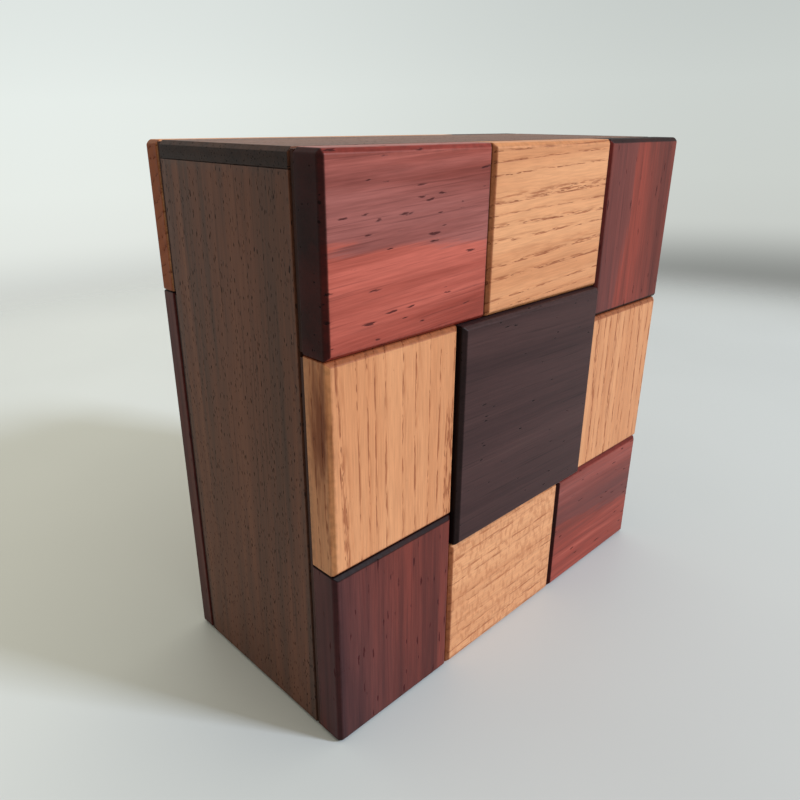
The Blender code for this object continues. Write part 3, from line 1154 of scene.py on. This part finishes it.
@dataclass
class SideModule:
    """One sliding side: its board, plates, tiles and runners.

    Attributes:
        side: which side it is.
        outer_tile: the part at the free corner.
        inner_tile: the part next to it.
        board_cut: how the board was cut.
        outer_cut: how the outer tile was cut.
        inner_cut: how the inner tile was cut.
        rear_cut: how the tile on the back was cut.
        rear_wood: the wood of the tile on the back.
        board_easing: radius of the rub on the board's edges, which are nearly left as sawn.
        board_fit: how much closer the board's inner end comes to the next board.
        tile_fit: how much closer the tiles' inner end comes to the next tile.
    """

    side: Side
    outer_tile: str
    inner_tile: str
    board_cut: Cut
    outer_cut: Cut
    inner_cut: Cut
    rear_cut: Cut
    rear_wood: Finish
    board_easing: float = 0.12 * MM
    board_fit: float = 0.24 * MM
    tile_fit: float = 0.17 * MM

    PLATE_EASING = 0.08 * MM
    RUNNER_EASING = 0.25 * MM
    PLATE_PLANK = 3.3
    RUNNER_PLANK = 5.7

    @property
    def body(self) -> str:
        """The body that the whole module moves with."""
        return f"{self.side.value}_module"

    def build(self) -> None:
        """Builds every piece of the module."""
        self.build_board()
        self.build_tiles()
        # The plates' dark finish is partly painted shade of the gap between board and tiles.
        self.build_hidden("plate", "dark_shaded", DARK_PLATE, self.PLATE_EASING, self.PLATE_PLANK)
        self.build_hidden("runner", "beech", BEECH, self.RUNNER_EASING, self.RUNNER_PLANK)

    def room(self, node: str, closer: float) -> tuple[Vector, Vector]:
        """The room of a part, with its inner end brought closer to the next module.

        Args:
            node: the part.
            closer: by how much.

        Returns:
            Its lowest and highest corners.
        """
        low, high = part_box(node)
        for axis, way in enumerate(self.side.free_end()):
            low[axis] -= closer * max(way, 0)
            high[axis] += closer * max(-way, 0)
        return low, high

    def corner(self) -> list[tuple[Vector, Vector]]:
        """The edge at the box's corner, where the module's side meets its free end."""
        return [(self.side.faces(), self.side.free_end())]

    def build_board(self) -> None:
        """The long board that closes the box's side."""
        name = self.side.value
        room = self.room(f"{name}_board", self.board_fit)
        block = Block(f"{name}_walnut_board", *room, self.corner(), easing=self.board_easing)
        finished(block, f"{name}_board", self.body, WALNUT, self.board_cut)

    def build_tiles(self) -> None:
        """The two tiles on the front and the one on the back."""
        tiles = (
            (self.outer_tile, 0.0, rim_edges(FRONT) + self.corner(), PADAUK, self.outer_cut),
            (self.inner_tile, self.tile_fit, rim_edges(FRONT), OAK, self.inner_cut),
            (
                f"{self.side.value}_rear_tile", self.tile_fit, rim_edges(BACK) + self.corner(),
                self.rear_wood, self.rear_cut,
            ),
        )
        for node, closer, chamfered, wood, cut in tiles:
            tile = Block(f"{node}_{wood.name}", *self.room(node, closer), chamfered)
            finished(tile, node, self.body, wood, cut)

    def build_hidden(self, kind: str, label: str, wood: Finish, easing: float, plank: float) -> None:
        """The front and rear pieces of a kind that lie under the tiles.

        Args:
            kind: plate or runner.
            label: what the name of each piece ends with.
            wood: their finish.
            easing: radius of the rub on their edges.
            plank: how many planks away from the board's they were cut.
        """
        cut = Cut(self.side.along(), self.side.other(), plank=self.board_cut.plank + plank)
        for where in ("front", "rear"):
            node = f"{self.side.value}_{where}_{kind}"
            finished(Block(f"{node}_{label}", *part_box(node), easing=easing), node, self.body, wood, cut)


@dataclass
class CentreDrawer:
    """The drawer whose front is the dark centre tile.

    Attributes:
        body: the body that the drawer is.
    """

    body: str = "drawer"

    def build(self) -> None:
        """Builds every piece of the drawer."""
        self.build_front()
        self.build_box()
        self.build_magnet()

    def build_front(self) -> None:
        """The centre tile and the walnut front behind it."""
        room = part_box("centre_tile")
        tile = Block("centre_tile_wenge", *room, rim_edges(FRONT))
        cut = Cut(Axis.X, Axis.Z, lean=1.5, ring_turn=8.0, plank=2.4)
        finished(tile, "centre_tile", self.body, WENGE, cut)
        front = Block("drawer_front_walnut", *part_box("drawer_front"))
        finished(front, "drawer_front", self.body, WALNUT, Cut(Axis.X, Axis.Z, plank=3.1))

    def build_box(self) -> None:
        """The drawer's sides, floor and back. The grooved side and the drilled back keep their shape."""
        cuts = {
            "drawer_right_side": Cut(Axis.Y, Axis.Z, plank=1.3),
            "drawer_floor": Cut(Axis.Y, Axis.X, plank=2.2),
        }
        for node, cut in cuts.items():
            finished(Block(f"{node}_cedar", *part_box(node)), node, self.body, CEDAR, cut)
        dressed("drawer_left_side", CEDAR, Cut(Axis.Y, Axis.Z, plank=3.7))
        dressed("drawer_back", CEDAR, Cut(Axis.X, Axis.Z, plank=4.6))

    def build_magnet(self) -> None:
        """The magnet let into the drawer's back."""
        disc = Disc("drawer_catch_disc", *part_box("drawer_catch_magnet"), Axis.Y)
        finished(disc, "drawer_catch_magnet", self.body, MAGNET, Cut(Axis.X, Axis.Z))


@dataclass
class Core:
    """The fixed frame in the middle, with the square on the back.

    Attributes:
        body: the body that the core is.
        bored_wall: the wall that the drawer's peg goes through, which keeps its shape.
    """

    body: str = "core"
    bored_wall: str = "tunnel_left_wall"

    FIRST_WALL_PLANK = 3.9
    NEXT_WALL_PLANK = 0.7
    PLATE_EASING = 0.08 * MM

    def build(self) -> None:
        """Builds every piece of the core."""
        self.build_panels()
        self.build_walls()
        self.build_rear_square()
        self.build_fittings()

    def build_panels(self) -> None:
        """The two grooved panels, which keep their shape."""
        dressed("core_front_panel", MAPLE, Cut(Axis.X, Axis.Z, plank=1.9))
        dressed("core_rear_panel", MAPLE, Cut(Axis.X, Axis.Z, plank=2.9))

    def build_walls(self) -> None:
        """The walls of the core and of the drawer's tunnel."""
        for index, side in enumerate(Side):
            plank = self.FIRST_WALL_PLANK + self.NEXT_WALL_PLANK * index
            cut = Cut(side.along(), Axis.Y, plank=plank)
            for node in (f"core_{side.value}_wall", f"tunnel_{side.value}_wall"):
                if node == self.bored_wall:
                    dressed(node, MAPLE, cut)
                else:
                    finished(Block(f"{node}_maple", *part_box(node)), node, self.body, MAPLE, cut)

    def build_rear_square(self) -> None:
        """The wenge square in the middle of the back, on its dark plate."""
        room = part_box("rear_centre_tile")
        square = Block("rear_centre_wenge", *room, rim_edges(BACK))
        cut = Cut(Axis.X, Axis.Z, lean=-1.0, ring_turn=8.0, plank=4.2)
        finished(square, "rear_centre_tile", self.body, WENGE, cut)
        plate = Block("rear_centre_plate_dark_shaded", *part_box("rear_centre_plate"), easing=self.PLATE_EASING)
        finished(plate, "rear_centre_plate", self.body, DARK_PLATE, Cut(Axis.X, Axis.Z, plank=2.0))

    def build_fittings(self) -> None:
        """The peg that stops the drawer and the magnet that holds it."""
        peg = Disc("drawer_stop_peg_beech", *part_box("drawer_stop_peg"), Axis.X)
        finished(peg, "drawer_stop_peg", self.body, BEECH, Cut(Axis.X, Axis.Z, plank=5.5))
        disc = Disc("core_catch_disc", *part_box("core_catch_magnet"), Axis.Y)
        finished(disc, "core_catch_magnet", self.body, MAGNET, Cut(Axis.X, Axis.Z))


# ---------------------------------------------------------------- studio


@dataclass
class Studio:
    """The table, the light and the camera.

    Attributes:
        floor_radius: radius of the table top.
        fade_centre: the point that the fade is measured from.
        fade_start: distance from that point at which the table starts to melt into the wall.
        fade_end: distance at which it has gone.
        ambient: level of the light from above, the room's open side.
        shade: level of the light from its shaded side, low on the left.
        key_level: level of the lamp on a surface that faces it.
        key_distance: distance of the lamp from the box.
        key_size: width of the lamp.
        key_heading: where the lamp stands, in degrees from the front towards the right.
        key_height: how high it stands, in degrees.
        camera_place: where the camera stands.
        camera_heading: which way it looks, in degrees from the back towards the right.
        camera_down: how far it looks down, in degrees.
        camera_roll: how far it is tipped, in degrees.
        sensor: width of its sensor in millimetres.
        lens: its focal length in millimetres.
        clip_start: the nearest distance that it sees.
    """

    floor_radius: float = 0.72
    fade_centre: tuple[float, float, float] = (0.04, 0.0, 0.0)
    fade_start: float = 0.26
    fade_end: float = 0.47
    ambient: float = 0.94
    shade: float = 0.12
    key_level: float = 0.71
    key_distance: float = 2.0
    key_size: float = 0.28
    key_heading: float = 29.0
    key_height: float = 33.5
    camera_place: tuple[float, float, float] = (-0.12268, -0.10852, 0.11790)
    camera_heading: float = 44.95
    camera_down: float = 22.0
    camera_roll: float = 0.35
    sensor: float = 36.0
    lens: float = 31.34
    clip_start: float = 0.01

    RIM_SIDES = 128
    CLOUDS = Grain(along=9.0, across=9.0)
    CLOUD_SHADE = Step(0.35, 0.65, to_low=0.985, to_high=1.015)
    SPECKS = Grain(along=700.0, across=700.0)
    TABLE_GLOSS = Step(0.3, 0.7, to_low=0.34, to_high=0.4)
    TABLE_SPECULAR = 0.2
    # The table's colour is painted lighter on the left and darker on the right, standing in for the fall of
    # light.
    TABLE_RIGHT = (0.7071, -0.7071, 0.0)
    TABLE_PAINTED_FALLOFF = Step(-0.16, 0.08)
    LEFT_TABLE, RIGHT_TABLE = srgb(209, 215, 218), srgb(188, 194, 200)
    WALL_RIGHT = (0.7094, -0.7048, 0.0)
    WALL_TILT = 0.038
    WALL_REACH = Step(-0.26, 0.2)
    WALL_STOPS = (
        (0.0, srgb(212, 215, 210)),
        (0.35, srgb(219, 224, 219)),
        (0.7, srgb(219, 225, 221)),
        (1.0, srgb(210, 216, 213)),
    )
    WALL_SHADE = Step(-0.45, 0.45, to_low=1.13, to_high=0.85)
    # A painted shadow along the foot of the wall, where it meets the table.
    FOOT_SHADOW_DROP = 0.1985
    FOOT_SHADOW_EDGE = Step(0.0, 0.07, to_low=1.0, to_high=0.0)
    FOOT_SHADOW_DEPTH = Step(-0.4, 0.45, to_low=0.19, to_high=0.45)
    OPEN_SIDE = (0.7, -0.05, 0.7)
    OPEN_REACH = (-0.7, 0.8)
    DAYLIGHT = (1.08, 1.0, 0.80, 1.0)
    LAMP_COLOUR = (0.92, 1.0, 1.13)

    def build(self) -> None:
        """Builds the table, the wall behind it, the lamp and the camera."""
        self.lay_table()
        self.paint_wall()
        self.hang_lamp()
        self.place_camera()
        bpy.context.scene.view_settings.view_transform = "Standard"

    def lay_table(self) -> None:
        """A round table top, pale and a little glossy, that melts into the wall at its rim; its colour is
        painted lighter to the left and darker to the right, where less light falls.
        """
        bpy.ops.object.select_all(action="DESELECT")
        bpy.ops.mesh.primitive_circle_add(
            vertices=self.RIM_SIDES, radius=self.floor_radius, fill_type="NGON", location=ORIGIN
        )
        table = bpy.context.active_object
        table.name = "table_top"
        material = bpy.data.materials.new("pale_table")
        tree = emptied(material)
        place = Reading(add(tree, "ShaderNodeTexCoord"), "Object")
        # Painted light and shade: the table's colour runs from lighter on the left to darker on the right,
        # standing in for how the light falls across it.
        turn = self.TABLE_PAINTED_FALLOFF.read(place.reach(self.TABLE_RIGHT))
        pale = turn.mixed(self.LEFT_TABLE, self.RIGHT_TABLE)
        surface = {
            "Base Color": pale.scaled(self.CLOUD_SHADE.read(self.CLOUDS.read(place))),
            "Roughness": self.TABLE_GLOSS.read(self.SPECKS.read(place)),
            "Specular IOR Level": self.TABLE_SPECULAR,
        }
        shader = pale.then("ShaderNodeBsdfPrincipled", surface)
        clear = pale.then("ShaderNodeBsdfTransparent", {})
        distance = place.vector("SUBTRACT", self.fade_centre).length()
        melted = distance.span(self.fade_start, self.fade_end).blended(shader, clear)
        add(tree, "ShaderNodeOutputMaterial", {"Surface": melted})
        table.data.materials.append(material)
        table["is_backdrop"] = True
        log.info("%s, %.2f m across", table.name, 2 * self.floor_radius)

    def paint_wall(self) -> None:
        """A pale wall all round, painted lighter to the left and shaded to the right, with a painted shadow
        along its foot where it meets the table; it is also a weak light, brighter from above and the right.
        """
        world = bpy.data.worlds.new("pale_room")
        bpy.context.scene.world = world
        tree = emptied(world)
        looking = Reading(add(tree, "ShaderNodeTexCoord"), "Generated")
        beside = looking.reach(self.WALL_RIGHT)
        level = looking.parts()[2] - beside * self.WALL_TILT
        wall = self.WALL_REACH.read(level).ramp(self.WALL_STOPS)
        # Painted shadow along the foot of the wall, where it meets the table, deeper to the right.
        foot_distance = (level + self.FOOT_SHADOW_DROP).math("ABSOLUTE")
        painted_foot_shadow = self.FOOT_SHADOW_EDGE.read(foot_distance) * self.FOOT_SHADOW_DEPTH.read(beside)
        shown = {"Color": wall.scaled(self.WALL_SHADE.read(beside) - painted_foot_shadow), "Strength": 1.0}
        strength = looking.reach(self.OPEN_SIDE).span(*self.OPEN_REACH, self.shade, self.ambient)
        seen = wall.then("ShaderNodeBackground", shown)
        light = wall.then("ShaderNodeBackground", {"Color": self.DAYLIGHT, "Strength": strength})
        path = Reading(add(tree, "ShaderNodeLightPath"), "Is Camera Ray")
        direct = path.math("MAXIMUM", path.other("Is Glossy Ray"))
        direct = direct.math("MAXIMUM", path.other("Is Transmission Ray"))
        add(tree, "ShaderNodeOutputWorld", {"Surface": direct.blended(light, seen)})

    def hang_lamp(self) -> None:
        """One soft lamp in front and to the right."""
        heading, height = math.radians(self.key_heading), math.radians(self.key_height)
        towards = Vector(
            (
                math.sin(heading) * math.cos(height),
                -math.cos(heading) * math.cos(height),
                math.sin(height),
            )
        )
        bpy.ops.object.light_add(type="AREA", location=towards * self.key_distance)
        lamp = bpy.context.active_object
        lamp.name = "window_lamp"
        lamp.rotation_euler = towards.to_track_quat("Z", "Y").to_euler()
        lamp.data.shape = "SQUARE"
        lamp.data.size = self.key_size
        lamp.data.energy = self.key_level * (math.pi * self.key_distance) ** 2
        lamp.data.color = self.LAMP_COLOUR

    def place_camera(self) -> None:
        """The camera, over the box's left front corner."""
        bpy.ops.object.camera_add(location=self.camera_place)
        camera = bpy.context.active_object
        turn = (
            Matrix.Rotation(-math.radians(self.camera_heading), 3, "Z")
            @ Matrix.Rotation(math.pi / 2 - math.radians(self.camera_down), 3, "X")
            @ Matrix.Rotation(math.radians(self.camera_roll), 3, "Z")
        )
        camera.rotation_euler = turn.to_euler()
        camera.data.sensor_width = self.sensor
        camera.data.lens = self.lens
        camera.data.clip_start = self.clip_start
        bpy.context.scene.camera = camera


def corners() -> list[list[float]]:
    """The box round all that shows, as two plain lists."""
    return [list(corner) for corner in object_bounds()]


def main() -> None:
    """Builds the box's looks and its studio."""
    logging.basicConfig(level=logging.INFO, format="%(message)s")
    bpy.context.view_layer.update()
    x, z = Axis.X, Axis.Z
    modules = [
        SideModule(
            Side.TOP, "top_left_tile", "top_middle_tile",
            # The top board's light tone is partly its own and partly painted sheen: it is lightened to stand
            # in for the grazing reflection on its top.
            board_cut=Cut(x, Axis.Y, plank=1.1, tone=-0.9),
            outer_cut=Cut(
                x, z, lean=-3.0, ring_turn=12.0, plank=0.6, tone=-0.95, breaks=(-0.037, -0.0262, 0.0975)
            ),
            inner_cut=Cut(x, z, lean=-2.0, ring_turn=24.0, plank=1.2, tone=-0.2),
            rear_cut=Cut(x, z, lean=1.0, ring_turn=30.0, plank=1.7, tone=-0.8),
            rear_wood=OAK,
        ),
        SideModule(
            Side.LEFT, "bottom_left_tile", "middle_left_tile",
            board_cut=Cut(z, Axis.Y, lean=0.6, plank=2.1),
            outer_cut=Cut(
                z, x, lean=0.8, ring_turn=15.0, plank=2.6, tone=0.8, breaks=(-0.062, -0.0262, 0.02)
            ),
            inner_cut=Cut(
                z, x, lean=0.6, ring_turn=30.0, plank=2.9, tone=0.1, flame=(-0.0572, -0.0236, 0.0695)
            ),
            rear_cut=Cut(z, x, lean=1.0, ring_turn=18.0, plank=3.3, tone=1.3),
            rear_wood=PADAUK,
        ),
        SideModule(
            Side.BOTTOM, "bottom_right_tile", "bottom_middle_tile",
            board_cut=Cut(x, Axis.Y, plank=3.4),
            outer_cut=Cut(
                x, z, lean=1.0, ring_turn=10.0, plank=3.8, tone=-0.45, breaks=(0.037, -0.0262, 0.015)
            ),
            inner_cut=Cut(x, z, lean=-1.0, ring_turn=40.0, plank=4.1, tone=-0.5, fleck=1.0),
            rear_cut=Cut(x, z, lean=1.0, ring_turn=26.0, plank=4.4),
            rear_wood=OAK,
        ),
        SideModule(
            Side.RIGHT, "top_right_tile", "middle_right_tile",
            board_cut=Cut(z, Axis.Y, plank=4.7),
            outer_cut=Cut(
                z, x, lean=1.0, ring_turn=196.0, plank=5.0, tone=0.15, breaks=(0.0365, -0.0262, 0.094)
            ),
            inner_cut=Cut(z, x, lean=0.5, ring_turn=34.0, plank=5.2, tone=0.0),
            rear_cut=Cut(z, x, lean=-1.0, ring_turn=20.0, plank=5.6, tone=0.1),
            rear_wood=PADAUK,
        ),
    ]
    for module in modules:
        module.build()
    CentreDrawer().build()
    Core().build()
    Studio().build()


if __name__ == "__main__":
    main()
